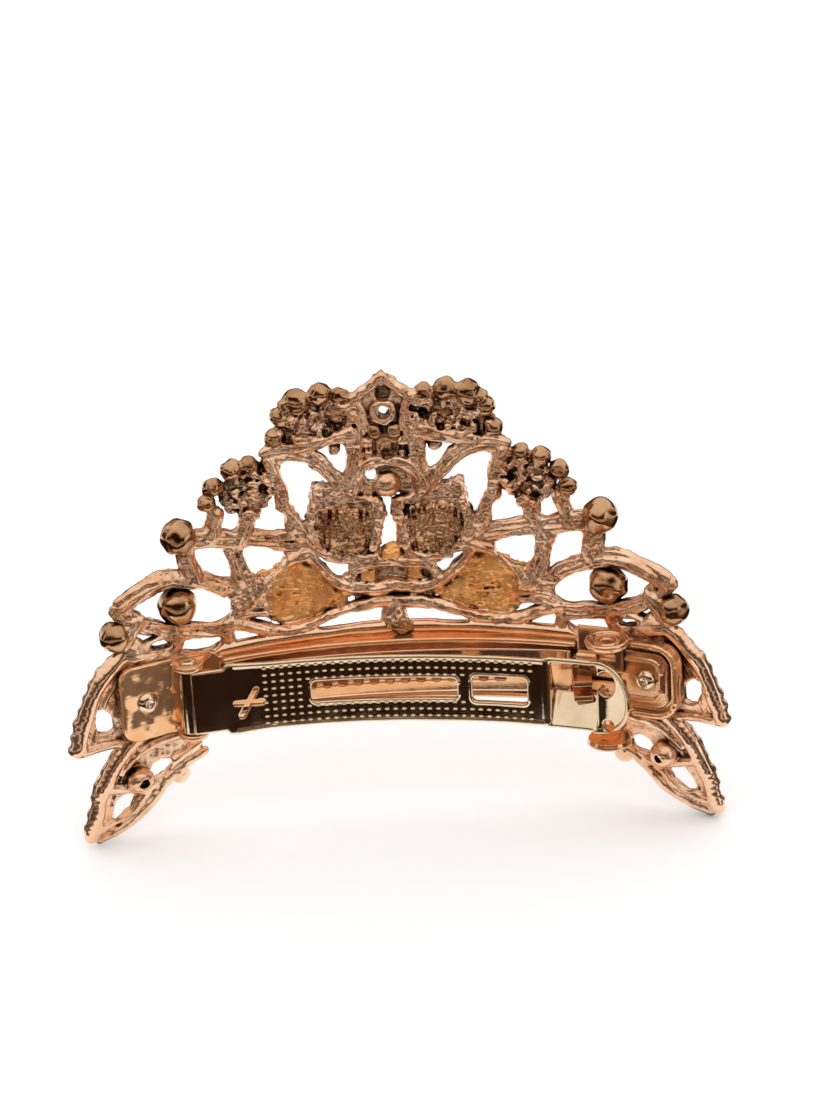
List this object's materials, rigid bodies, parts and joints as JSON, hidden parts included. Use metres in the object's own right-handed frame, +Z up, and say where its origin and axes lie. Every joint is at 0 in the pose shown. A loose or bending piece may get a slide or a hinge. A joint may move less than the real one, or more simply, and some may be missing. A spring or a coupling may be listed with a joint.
{
  "type": "barrette",
  "caption": "Crown-shaped openwork barrette in cast rose-gold metal with beads and stones, on a curved spring clip with a hinged arm, tension bar and pinch catch.",
  "frame": {"origin": "middle of the clip's base plate, on the face the ornament is fixed to", "axes": "+X along the barrette towards the catch, +Z up towards the crown tip, -Y towards the hair"},
  "size_m": [0.0954, 0.022, 0.0667],
  "materials": {
    "rose_gold": "polished, rough cast on the back",
    "clip_metal": "plated and polished",
    "stone": "cut and polished"
  },
  "bodies": {
    "ornament_and_base": {"base_plate": "clip_metal", "hinge_pin": "clip_metal", "catch_base": "rose_gold", "rivets": "clip_metal", "solder_joint": "rose_gold", "bottom_rail": "rose_gold", "crown_tip": "rose_gold", "centre_cup": "rose_gold", "left_wing_leaf": "rose_gold", "right_wing_leaf": "rose_gold", "left_pointed_frame": "rose_gold", "right_pointed_frame": "rose_gold", "left_upper_leaf": "rose_gold", "right_upper_leaf": "rose_gold", "left_lower_leaf": "rose_gold", "right_lower_leaf": "rose_gold", "left_side_scroll": "rose_gold", "right_side_scroll": "rose_gold", "left_crest_arch": "rose_gold", "right_crest_arch": "rose_gold", "left_petal_cup": "rose_gold", "right_petal_cup": "rose_gold", "left_crest_plate": "rose_gold", "right_crest_plate": "rose_gold", "left_side_plate": "rose_gold", "right_side_plate": "rose_gold", "left_crest_beads": "rose_gold", "right_crest_beads": "rose_gold", "left_side_beads": "rose_gold", "right_side_beads": "rose_gold", "left_shoulder_ball": "rose_gold", "right_shoulder_ball": "rose_gold", "left_frame_ball": "rose_gold", "right_frame_ball": "rose_gold", "left_end_cup": "rose_gold", "right_end_cup": "rose_gold", "left_round_stones": "stone", "right_round_stones": "stone", "left_petal_stone": "stone", "right_petal_stone": "stone", "left_leaf_stones": "stone", "right_leaf_stones": "stone", "crest_stones": "stone"},
    "arm": {"clasp_arm": "clip_metal"},
    "bar": {"tension_bar": "clip_metal"},
    "upper_catch": {"catch_upper": "rose_gold"},
    "lower_catch": {"catch_lower": "rose_gold"}
  },
  "joints": [
    {"name": "arm_open", "type": "hinge", "parent": "ornament_and_base", "child": "arm", "pos_m": [-0.0298, -0.00948, 0], "axis": [0, 0, -1], "range_deg": [0, 95]},
    {"name": "catch_upper_pinch", "type": "hinge", "parent": "ornament_and_base", "child": "upper_catch", "pos_m": [0.02762, -0.00796, 0.003], "axis": [0.9337, -0.3581, 0], "range_deg": [0, 4.5], "stiffness_Nm_per_rad": 0.1},
    {"name": "catch_lower_pinch", "type": "hinge", "parent": "ornament_and_base", "child": "lower_catch", "pos_m": [0.02762, -0.00796, -0.003], "axis": [-0.9337, 0.3581, 0], "range_deg": [0, 4.5]},
    {"name": "bar_press", "type": "slide", "parent": "ornament_and_base", "child": "bar", "axis": [0, 1, 0], "range_m": [0, 0.0015], "stiffness_N_per_m": 2000, "deforming": ["tension_bar"]}
  ],
  "couplings": [
    {"joint": "catch_lower_pinch", "follows": "catch_upper_pinch", "ratio": 1}
  ]
}
